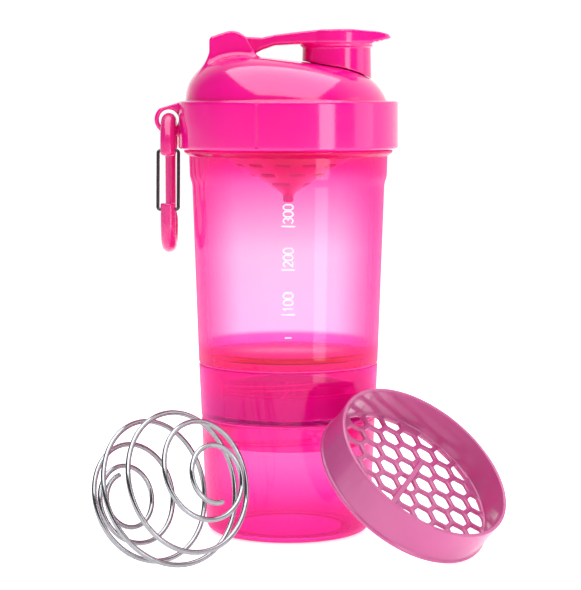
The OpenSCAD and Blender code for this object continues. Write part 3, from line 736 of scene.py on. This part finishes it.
def lid():
    step = 0.45
    f = Field((-62, -51, Z_COLLAR - 1), (51, 51, HINGE_Z + 9), step)
    lean = 0.2 * (Z_TOP - f.z) / (Z_TOP - Z_COLLAR)
    collar = box2(f.rho - R_COLLAR + 0.2 - lean, slab(f.z, Z_COLLAR, Z_TOP), 1.0)
    hinge = outline_distance(f.x - HINGE_X, f.z - HINGE_Z, [
        (-19, -26), (-10.9, -3), (-10.9, 2.6), (-10, 3.9), (-6, 5.2)]
        + arc((-0.8, -1.6), 8.1, 110, 20, 10) + [(9.6, -3), (11, -8), (11, -26)])
    width = KNUCKLE_W / 2 + FIT + EAR
    block = box2(hinge, np.abs(f.y) - width, 1.2)
    block = np.maximum(block, f.rho - R_DOME)
    block = np.maximum(block, Z_TOP - 2 - f.z)
    shell = join(dome_distance(f, 0), block, 3.0)
    shell = np.maximum(shell, Z_TOP - 3 - f.z)
    spout = np.hypot(f.x - SPOUT_X, f.y)
    tube_wall = box2(spout - SPOUT_R - SPOUT_WALL, slab(f.z, Z_TOP, Z_SPOUT), 0.7)
    shell = join(shell, tube_wall, 1.6)
    solid = join(collar, shell, 0.5)
    # lug for the carabiner
    lug_x = (bar_low[0] + bar_high[0]) / 2
    bar_r = (bar_high[0] - bar_low[0]) / 2
    lug_z = bar_high[2] - bar_r + 0.3
    hole = bar_r + 1.1
    ring = hole + 2
    root = 1.4 - R_COLLAR
    lug = outline_distance(f.x, f.z, [(root, Z_TOP - 0.8), (root - 1.8, Z_TOP - 0.8)]
                           + arc((lug_x, lug_z), ring, 128, 258, 16) + [(root, lug_z - ring - 1.2)])
    solid = join(solid, box2(lug, np.abs(f.y) - 2.2, 0.7), 0.8)
    # the mould's parting line down the collar
    seam = math.radians(-106)
    line = np.hypot(f.y * math.cos(seam) - f.x * math.sin(seam), f.rho - R_COLLAR - 0.2) - 0.75
    solid = cut(solid, np.maximum(line, slab(f.z, Z_COLLAR + 0.8, Z_TOP - 1)), 0.15)
    # hollows
    solid = cut(solid, dome_distance(f, DOME_WALL), 0.5)
    middle = Z_NECK + RIB_ROOM
    threads = rib_height(f.theta, f.z, middle, 1)
    bore = np.maximum(f.rho - R_COLLAR_IN + threads, f.z - Z_LEDGE)
    solid = cut(solid, bore, 0.3)
    throat = np.maximum(f.rho - (R_DOME - DOME_WALL - 1), slab(f.z, Z_LEDGE - 1, Z_TOP + 0.5))
    solid = cut(solid, throat, 0.4)
    slot = np.maximum(np.abs(f.y) - KNUCKLE_W / 2 - FIT, Z_DECK + 1.5 - f.z)
    slot = np.maximum(slot, slab(f.x, HINGE_X - 30, HINGE_X + 30))
    solid = cut(solid, slot, 0.6)
    solid = cut(solid, np.maximum(spout - SPOUT_R, Z_TOP - f.z), 0.5)
    solid = cut(solid, np.hypot(f.x - lug_x, f.z - lug_z) - hole, 0.6)
    pin_bore = np.maximum(np.hypot(f.x - HINGE_X, f.z - HINGE_Z) - PIN_R, np.abs(f.y) - pin_high[1])
    solid = cut(solid, pin_bore, 0.15)
    points, faces = skin(solid, f)
    make("lid_moulding", points, faces, lid_plastic, "lid", "lid_shell")


lid()


# ---------------------------------------------------------------- flip cap
CAP_R = 15.7
CAP_WALL = 2.3
PLATE_TOP = HINGE_Z + 7.2
PLATE_LOW = PLATE_TOP - 6.6
TAB_X = SPOUT_X + CAP_R + 9.2


def flip_cap():
    step = 0.4
    f = Field((HINGE_X - 7, -19, Z_TOP + 3), (TAB_X + 2, 19, PLATE_TOP + 1.5), step)
    half = KNUCKLE_W / 2
    plan = outline_distance(f.x, f.y, arc((SPOUT_X, 0), CAP_R + 1.4, 56, 122, 14)
        + [(HINGE_X + 17, half + 1.4), (HINGE_X + 9.6, half), (HINGE_X - 6, half), (HINGE_X - 6, -half),
           (HINGE_X + 9.6, -half), (HINGE_X + 17, -half - 1.4)]
        + arc((SPOUT_X, 0), CAP_R + 1.4, -122, -56, 14) + arc((TAB_X - 13, 0), 13, -40, 40, 14))
    side = outline_distance(f.x, f.z, arc((HINGE_X, HINGE_Z), 4.4, 75, 300, 20) + [
        (HINGE_X + 10, HINGE_Z - 3.2), (HINGE_X + 12.6, HINGE_Z - 1.9), (HINGE_X + 18.4, PLATE_LOW - 0.5),
        (HINGE_X + 29, PLATE_LOW), (SPOUT_X + CAP_R, PLATE_LOW + 0.3), (TAB_X - 4, PLATE_LOW + 1.7),
        (TAB_X - 0.5, PLATE_TOP - 4), (TAB_X, PLATE_TOP - 3.4), (TAB_X - 1.6, PLATE_TOP - 2),
        (TAB_X - 6.6, PLATE_TOP - 0.9), (SPOUT_X + 6, PLATE_TOP), (SPOUT_X - 7, PLATE_TOP - 0.2),
        (SPOUT_X - 17, PLATE_TOP - 1.1), (HINGE_X + 18.4, PLATE_TOP - 2.4),
        (HINGE_X + 12.6, PLATE_TOP - 3.6)])
    solid = box2(plan, side, 1.0)
    r = np.hypot(f.x - SPOUT_X, f.y)
    lean = 0.3 - 0.6 * (f.z - Z_TOP) / (PLATE_LOW + 1 - Z_TOP)
    skirt = box2(r - CAP_R - lean, slab(f.z, Z_TOP, PLATE_LOW + 1.5), 0.3)
    skirt = join(skirt, box2(r - CAP_R - 0.7, slab(f.z, PLATE_LOW - 1.2, PLATE_LOW + 1.5), 0.4), 0.4)
    hollow = np.maximum(r - CAP_R + CAP_WALL, f.z - PLATE_LOW)
    skirt = cut(skirt, hollow, 0.4)
    skirt = cut(skirt, dome_distance(f, -0.35), 0.3)
    solid = join(solid, skirt, 0.7)
    post = np.maximum(r - SPOUT_R + 3, slab(f.z, PLATE_LOW - 3, PLATE_LOW + 2))
    solid = join(solid, post, 0.3)
    # thumb grip: three shallow grooves across the underside of the tab
    for k in range(3):
        groove_x = TAB_X - 3.4 - 2.2 * k
        groove_z = PLATE_LOW + 2.0 - 0.45 * k
        solid = cut(solid, np.hypot(f.x - groove_x, f.z - groove_z + 0.9) - 1.0, 0.4)
    solid = cut(solid, np.hypot(f.x - HINGE_X, f.z - HINGE_Z) - PIN_R - 0.05, 0.15)
    points, faces = skin(solid, f)
    make("flip_cap_moulding", points, faces, lid_plastic, "flip_cap", "flip_cap")


flip_cap()


z_plug = Z_SPOUT - 2.4
outline = rounded([
    (0, z_plug + 0.5, 0), (SPOUT_R - 3.4, z_plug + 0.5, 0.5), (SPOUT_R - 2.9, z_plug, 0.3),
    (SPOUT_R - 1.2, z_plug, 0.5), (SPOUT_R - 0.8, z_plug + 0.8, 0.3), (SPOUT_R - 0.7, Z_SPOUT + 0.05, 0.2),
    (SPOUT_R + 1.7, Z_SPOUT + 0.05, 0.4), (SPOUT_R + 1.7, PLATE_LOW - 0.6, 0.5),
    (SPOUT_R - 1, PLATE_LOW, 0.3), (SPOUT_R - 3, PLATE_LOW, 0.1), (SPOUT_R - 3, PLATE_LOW - 3, 0.1),
    (0, PLATE_LOW - 3, 0)])
points, faces = lathe(outline, 96)
points = points + np.array([SPOUT_X, 0, 0])
make("plug_moulding", points, faces, seal_silicone, "flip_cap", "spout_plug")

half = pin_high[1]
points, faces = lathe(rounded([(0, -half, 0), (PIN_R, -half, 0.35), (PIN_R, half, 0.35), (0, half, 0)]), 48)
points = points @ np.array([[1, 0, 0], [0, 0, -1], [0, 1, 0]]) + np.array([HINGE_X, 0, HINGE_Z])
make("hinge_pin_rod", points, faces, pin_steel, "lid", "hinge_pin")


# ---------------------------------------------------------------- carabiner
BAR_R = (bar_high[0] - bar_low[0]) / 2
BAR_X = (bar_high[0] + bar_low[0]) / 2
BEND_R = (bar_high[1] - bar_low[1]) / 2 - BAR_R
Z_TOP_BEND = bar_high[2] - BAR_R - BEND_R
Z_LOW_BEND = bar_low[2] + BAR_R + BEND_R
SPINE_R = 2.4
NOSE = 5.3
FOOT = 9.0
GATE_R = 0.75
GATE_PIVOT = Z_LOW_BEND + FOOT - 2.8


def carabiner():
    step = 0.28
    f = Field(bar_low - 0.8, bar_high + 0.8, step)
    x = f.x - BAR_X
    top = np.hypot(np.hypot(f.y, f.z - Z_TOP_BEND) - BEND_R, x) - BAR_R
    top = np.maximum(top, Z_TOP_BEND - f.z)
    low = np.hypot(np.hypot(f.y, f.z - Z_LOW_BEND) - BEND_R, x) - BAR_R
    low = np.maximum(low, f.z - Z_LOW_BEND)
    front = np.hypot(f.y + BEND_R, x)
    nose = box2(front - BAR_R, slab(f.z, Z_TOP_BEND - NOSE, Z_TOP_BEND + 0.1), 1.8)
    nose = np.minimum(nose, np.maximum(front - BAR_R, slab(f.z, Z_TOP_BEND - 1.8, Z_TOP_BEND + 0.1)))
    foot = box2(front - BAR_R, slab(f.z, Z_LOW_BEND - 2, Z_LOW_BEND + FOOT), 0.7)
    foot = np.maximum(foot, Z_LOW_BEND - 0.1 - f.z)
    # the spine is slimmer in its middle
    middle = (Z_TOP_BEND + Z_LOW_BEND) / 2
    reach = (Z_TOP_BEND - Z_LOW_BEND) / 2
    t = np.clip((reach - np.abs(f.z - middle)) / 7, 0, 1)
    slim = BAR_R - (BAR_R - SPINE_R) * t * t * (3 - 2 * t)
    spine = np.maximum((np.hypot(f.y - BEND_R, x) - slim) * 0.95, np.abs(f.z - middle) - reach - 0.1)
    solid = np.minimum(np.minimum(top, low), np.minimum(np.minimum(nose, foot), spine))
    # blind bores for the gate's feet
    bores = np.maximum(np.hypot(f.y + BEND_R, f.z - GATE_PIVOT) - GATE_R - 0.05, BAR_R - 1.8 - np.abs(x))
    solid = cut(solid, bores, 0.15)
    points, faces = skin(solid, f)
    make("carabiner_bar", points, faces, carabiner_paint, "carabiner", "carabiner_body")


carabiner()


def gate():
    clear = 0.45
    bend = GATE_R + 0.3
    reach_x = BAR_R + GATE_R + clear
    bar_z = Z_TOP_BEND - NOSE + 2.2
    bar_y = -BEND_R + BAR_R + GATE_R + clear
    length = math.hypot(bar_z - GATE_PIVOT, bar_y + BEND_R)
    lean = math.atan2(bar_y + BEND_R, bar_z - GATE_PIVOT)
    corner = [(math.sin(math.pi / 2 * k / 8), math.cos(math.pi / 2 * k / 8)) for k in range(9)]
    half_path = [(BAR_R - 1.6, 0)]
    half_path += [(reach_x - bend + bend * s, bend - bend * c) for s, c in corner]
    half_path += [(reach_x, bend + (length - 2 * bend) * k / 6) for k in range(1, 6)]
    half_path += [(reach_x - bend + bend * c, length - bend + bend * s) for s, c in corner]
    path = half_path + [(-x, z) for x, z in half_path[::-1]]
    path = [(x, z * math.sin(lean), z * math.cos(lean)) for x, z in path]
    points, faces = tube(path, GATE_R, 14, up=(0, 1, 0))
    points = points + np.array([BAR_X, -BEND_R, GATE_PIVOT])
    make("carabiner_gate_wire", points, faces, gate_steel, "gate", "carabiner_gate")


gate()


# ---------------------------------------------------------------- mixing ball
BALL_R = 32.4
BALL_WIRE = 2.2
BALL_AXIS = np.array([0.65, -0.705, 0.283]) / np.linalg.norm([0.65, -0.705, 0.283])
BALL_LOOPS = [17.6, 28.4, 60.4, 84.3, 116.1, 141.6, 157.7, 160.5]  # polar angle after each turn
BALL_PLACE = (-49.6, -77.5)
BALL_PHASE = 144.7
BALL_START = 0.14
BALL_TURNS = 6.48


def mixing_ball():
    """One wire wound round a sphere, easing from loop to loop, with softly rounded ends."""
    steps = 84
    u = np.cross(BALL_AXIS, (0, 0, 1))
    u /= np.linalg.norm(u)
    v = np.cross(BALL_AXIS, u)
    path = []
    for i in range(int(BALL_TURNS * steps) + 1):
        turn = BALL_START + i / steps
        k = int(turn)
        t = turn - k
        polar = math.radians(BALL_LOOPS[k] + (BALL_LOOPS[k + 1] - BALL_LOOPS[k]) * t * t * (3 - 2 * t))
        angle = math.radians(BALL_PHASE - 360 * turn)
        around = math.cos(angle) * u + math.sin(angle) * v
        path.append(BALL_R * (math.cos(polar) * BALL_AXIS + math.sin(polar) * around))
    radius = BALL_WIRE / 2
    path = np.array(path)
    path = path + (*BALL_PLACE, radius - np.min(path[:, 2]))
    first, last = path[0] - path[1], path[-1] - path[-2]
    ends = [(0.35, 0.93), (0.7, 0.7), (0.9, 0.35)]
    head = [path[0] + first / np.linalg.norm(first) * radius * a * 0.6 for a, _ in ends]
    tail = [path[-1] + last / np.linalg.norm(last) * radius * a * 0.6 for a, _ in ends]
    radii = [radius * b for _, b in ends]
    path = np.concatenate([head[::-1], path, tail])
    radii = np.array(radii[::-1] + [radius] * (len(path) - 6) + radii)
    points, faces = tube(path, radii, 14)
    make("ball_wire", points, faces, ball_steel, "ball", "mixing_ball")


mixing_ball()


# ---------------------------------------------------------------- strainers and tray
def funnel():
    step = 0.45
    radius = R_NECK_IN - 0.4
    wall = 1.6
    lift = wall / math.cos(math.atan(FUNNEL_SLOPE))

    def cone(r):
        return Z_RIM - 12.6 - (radius - r) * FUNNEL_SLOPE

    low = cone(2.4) - 3.4
    f = Field((-46, -46, low - 1), (46, 46, Z_RIM + 2.2), step)
    slope = math.cos(math.atan(FUNNEL_SLOPE))
    under = (cone(f.rho) - f.z) * slope
    solid = both(under, f.rho - radius, 0.8)
    solid = join(solid, box2(f.rho - R_NECK - 0.2, slab(f.z, Z_RIM, Z_RIM + 1.2), 0.3), 0.5)
    solid = join(solid, box2(f.rho - 2.4, slab(f.z, low, low + 8), 0.8), 1.2)
    solid = np.maximum(solid, f.z - Z_RIM - 1.2)
    hollow = np.maximum(f.rho - radius + wall, (cone(f.rho) + lift - f.z) * slope)
    solid = cut(solid, hollow, 0.5)
    for row in range(1, 6):
        r = radius * (row + 0.35) / 6
        count = 4 * row
        turn = TAU / count
        first = turn * row / 2
        span = math.radians(200 / count)
        theta = (f.theta - first) % turn
        along = np.abs(theta - span / 2) * r - span / 2 * r + 1.0
        slots = np.hypot(f.rho - r, np.maximum(along, 0)) - 1.0
        slots = np.maximum(slots, slab(f.z, cone(r) - 4, cone(r) + 6))
        solid = cut(solid, slots, 0.4)
    points, faces = skin(solid, f)
    make("funnel_moulding", points, faces, strainer_plastic, "strainer",
         "funnel_strainer")


funnel()


def pill_tray():
    step = 0.5
    z0, z1 = tray_low[2], tray_high[2]
    radius = tray_high[0]
    wall = 1.2
    f = Field((-radius - 1, -radius - 1, z0 - 1), (radius + 1, radius + 1, z1 + 1), step)
    solid = box2(f.rho - radius, slab(f.z, z0, z1), 0.4)
    solid = cut(solid, box2(f.rho - radius + wall, slab(f.z, z0 + wall, z1 + 4), 1.0), 0.3)
    solid = join(solid, box2(f.rho - 3, slab(f.z, z0 + 0.3, z1), 0.5), 0.6)
    for k in range(3):
        a = math.radians(-96 + 120 * k)
        across = f.y * math.cos(a) - f.x * math.sin(a)
        along = f.x * math.cos(a) + f.y * math.sin(a)
        rib = box2(np.abs(across) - wall / 2, slab(f.z, z0 + 0.3, z1 - 0.6), 0.3)
        solid = join(solid, np.maximum(rib, slab(along, 1, radius - wall / 2)), 0.6)
    points, faces = skin(solid, f)
    make("tray_moulding", points, faces, tray_plastic, "tray", "pill_tray")


pill_tray()


# The round strainer is worked out lying flat, and then leans on the bottle.
SIEVE_R = 42.0
SIEVE_H = 17.8
SIEVE_WALL = 1.6
SIEVE_BEAD = 0.8
SIEVE_PLATE = (1.2, 3.0)
HEX = 8.0
HEX_RIB = 2.4
HEX_TURN = math.radians(-15)
BAR_TURN = math.radians(204.7)
BAR_SPAN = (-18, SIEVE_R - SIEVE_WALL / 2)
PARTING_TURN = math.radians(86)
LEAN_TURN = math.radians(48.8)
LEAN_TILT = math.radians(42.5)
LEAN_SIDE = 5.5


def round_strainer():
    step = 0.4
    f = Field((-44, -44, -1), (44, 44, SIEVE_H + 1), step)
    ring = box2(f.rho - SIEVE_R, slab(f.z, 0, SIEVE_H), 0.5)
    ring = cut(ring, f.rho - SIEVE_R + SIEVE_WALL, 0.4)
    ring = join(ring, np.hypot(f.rho - SIEVE_R + 0.12, f.z - 0.92) - 0.92, 0.3)
    plate = np.maximum(f.rho - SIEVE_R + SIEVE_WALL / 2, slab(f.z, *SIEVE_PLATE))
    gx = f.x * math.cos(HEX_TURN) + f.y * math.sin(HEX_TURN)
    gy = f.y * math.cos(HEX_TURN) - f.x * math.sin(HEX_TURN)
    pitch = HEX + HEX_RIB
    row_h = pitch * math.cos(math.radians(30))
    edge = SIEVE_R - SIEVE_WALL - 1
    holes = np.full(np.broadcast(f.x, f.y).shape, 99.0, np.float32)
    rows = int(SIEVE_R / row_h) + 1
    for j in range(-rows, rows + 1):
        for i in range(-rows, rows + 1):
            cx, cy = pitch * (i + (0 if j % 2 == 0 else 0.5)), row_h * j
            if math.hypot(cx, cy) < edge - 0.5:
                dx, dy = np.abs(gx - cx), np.abs(gy - cy)
                hexagon = np.maximum(dx, dx / 2 + dy * math.sqrt(3) / 2) - HEX / 2
                holes = np.minimum(holes, np.maximum(hexagon, np.hypot(dx, dy) - HEX * 0.55))
    plate = cut(plate, both(holes, f.rho - edge, 0.8), 0.7)
    solid = join(ring, plate, 0.6)
    along = f.x * math.cos(BAR_TURN) + f.y * math.sin(BAR_TURN)
    across = f.y * math.cos(BAR_TURN) - f.x * math.sin(BAR_TURN)
    bar = box2(np.abs(across) - 1.2, slab(f.z, 1.8, 4.8), 0.4)
    bar = np.maximum(bar, slab(along, *BAR_SPAN))
    solid = join(solid, bar, 0.5)
    # the mould's parting line, inside and outside the wall
    across = f.y * math.cos(PARTING_TURN) - f.x * math.sin(PARTING_TURN)
    line = np.hypot(across, np.abs(f.rho - SIEVE_R + SIEVE_WALL / 2) - 0.95) - 0.35
    line = np.maximum(np.maximum(line, -f.y), slab(f.z, 3.4, SIEVE_H - 0.6))
    solid = cut(solid, line, 0.2)
    points, faces = skin(solid, f)
    reach = SIEVE_R + SIEVE_BEAD
    top = jar_radius(2 * reach * math.sin(LEAN_TILT)) + 0.5
    out = reach * math.cos(LEAN_TILT) + math.sqrt(top**2 - LEAN_SIDE**2)
    place = (Matrix.Rotation(LEAN_TURN, 4, "Z")
             @ Matrix.Translation((-LEAN_SIDE, -out, reach * math.sin(LEAN_TILT)))
             @ Matrix.Rotation(LEAN_TILT, 4, "X"))
    m = np.array(place)
    points = points @ m[:3, :3].T + m[:3, 3]
    make("sieve_moulding", points, faces, sieve_plastic, "loose_strainer",
         "round_strainer")


round_strainer()


# ---------------------------------------------------------------- camera, light and floor
VIEW_TILT = math.radians(5.44)
scene = bpy.context.scene
camera = bpy.data.objects.new("camera", bpy.data.cameras.new("camera"))
scene.collection.objects.link(camera)
camera.data.sensor_width = 36.0
camera.data.lens = 128.1
camera.location = (0.001, -0.9548, 0.199)
camera.rotation_euler = (math.pi / 2 - VIEW_TILT, 0, 0)
scene.camera = camera


def softbox(name, azimuth, elevation, distance, width, height, power, diffuse=True, glossy=True):
    """A rectangular light that faces the bottle. Azimuth 0 is the camera's side, positive to its right."""
    light = bpy.data.lights.new(name, "AREA")
    light.shape = "RECTANGLE"
    light.size, light.size_y = width, height
    light.energy = power
    lamp = bpy.data.objects.new(name, light)
    scene.collection.objects.link(lamp)
    lamp.visible_diffuse, lamp.visible_glossy = diffuse, glossy
    lamp.visible_camera = lamp.visible_transmission = False
    a, e = math.radians(azimuth), math.radians(elevation)
    away = Vector((math.sin(a) * math.cos(e), -math.cos(a) * math.cos(e), math.sin(e)))
    lamp.location = Vector((0, 0, 0.13)) + away * distance
    lamp.rotation_euler = away.to_track_quat("Z", "Y").to_euler()


softbox("strip", 38, 0, 0.4, 0.11, 0.25, 0.40, diffuse=False)
softbox("side", 30, 25, 1.3, 0.9, 1.0, 3.5, glossy=False)
softbox("top", 0, 76, 1.25, 1.9, 2.2, 23)
softbox("overhead", 0, 76, 1.24, 1.9, 2.2, 26, diffuse=False)
softbox("right", 85, 15, 1.5, 0.7, 0.9, 2)

# The room is white behind the bottle and dimmer on the camera's side and to the left
world = bpy.data.worlds.new("studio")
scene.world = world
world.use_nodes = True
room = world.node_tree
direction = room.nodes.new("ShaderNodeTexCoord")
facing = room.nodes.new("ShaderNodeVectorMath")
facing.operation = "DOT_PRODUCT"
facing.inputs[1].default_value = (0.5, 0.87, 0.0)
room.links.new(direction.outputs["Generated"], facing.inputs[0])
room.links.new(spread(room, facing.outputs["Value"], 0.12, 1.03, 0.05, 0.66),
               room.nodes["Background"].inputs["Strength"])
room.nodes["Background"].inputs["Color"].default_value = (1, 1, 1, 1)
scene.view_settings.view_transform = "Standard"

floor_mesh = bpy.data.meshes.new("floor")
floor_mesh.from_pydata([(-30, -30, 0), (30, -30, 0), (30, 30, 0), (-30, 30, 0)], [], [(0, 1, 2, 3)])
floor = bpy.data.objects.new("floor", floor_mesh)
scene.collection.objects.link(floor)
floor_paint, floor_tree, floor_shader = nodes_of("floor_paint")
floor_tree.links.new(
    blend_colour(floor_tree, noise(floor_tree, 6, 2), (0.93, 0.93, 0.93), (0.96, 0.96, 0.96)),
    floor_shader.inputs["Base Color"])
floor_shader.inputs["Roughness"].default_value = 0.8
floor_shader.inputs["Specular IOR Level"].default_value = 0.1
floor_shader.inputs["Emission Color"].default_value = (1, 1, 1, 1)
floor_shader.inputs["Emission Strength"].default_value = 0.66
floor_mesh.materials.append(floor_paint)
